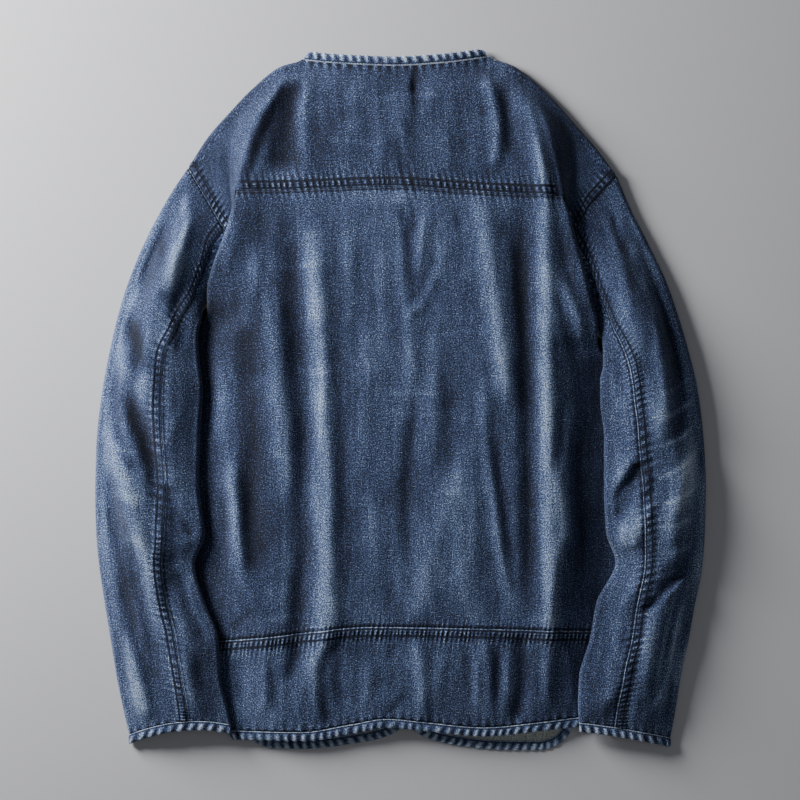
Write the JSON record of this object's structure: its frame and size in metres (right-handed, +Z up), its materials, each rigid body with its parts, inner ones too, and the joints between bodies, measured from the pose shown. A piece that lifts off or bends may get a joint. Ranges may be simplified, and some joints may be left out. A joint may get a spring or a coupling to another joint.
{
  "type": "collarless denim jacket, laid flat on its front",
  "caption": "Collarless washed-denim jacket laid flat with its back up: yoke, hem band, drop-shoulder sleeves and narrow roped edges at neck, hem and cuffs.",
  "frame": {"origin": "bottom centre of the laid-out jacket's box, on the surface it lies on", "axes": "+Z up out of the surface, +Y from the hem towards the neck, +X towards the sleeve on the right seen from above with the back up"},
  "size_m": [0.642, 0.7399, 0.0344],
  "materials": {
    "washed_denim": "indigo cotton twill, enzyme washed, faded on its ridges, with vertical slubs",
    "roped_edge_denim": "the same twill folded and stitched, roped: pale on the puckers and dark between",
    "topstitch_thread": "dark indigo cotton-polyester thread, matt"
  },
  "bodies": {
    "root": {"back_yoke": "washed_denim", "back_body": "washed_denim", "back_hem_band": "washed_denim", "front_left": "washed_denim", "front_right": "washed_denim", "sleeve_top_left": "washed_denim", "sleeve_under_left": "washed_denim", "sleeve_top_right": "washed_denim", "sleeve_under_right": "washed_denim", "back_hem_strip": "roped_edge_denim", "neck_strip": "roped_edge_denim", "cuff_strip_left": "roped_edge_denim", "cuff_strip_right": "roped_edge_denim", "front_strip_left": "roped_edge_denim", "front_strip_right": "roped_edge_denim"}
  },
  "joints": []
}
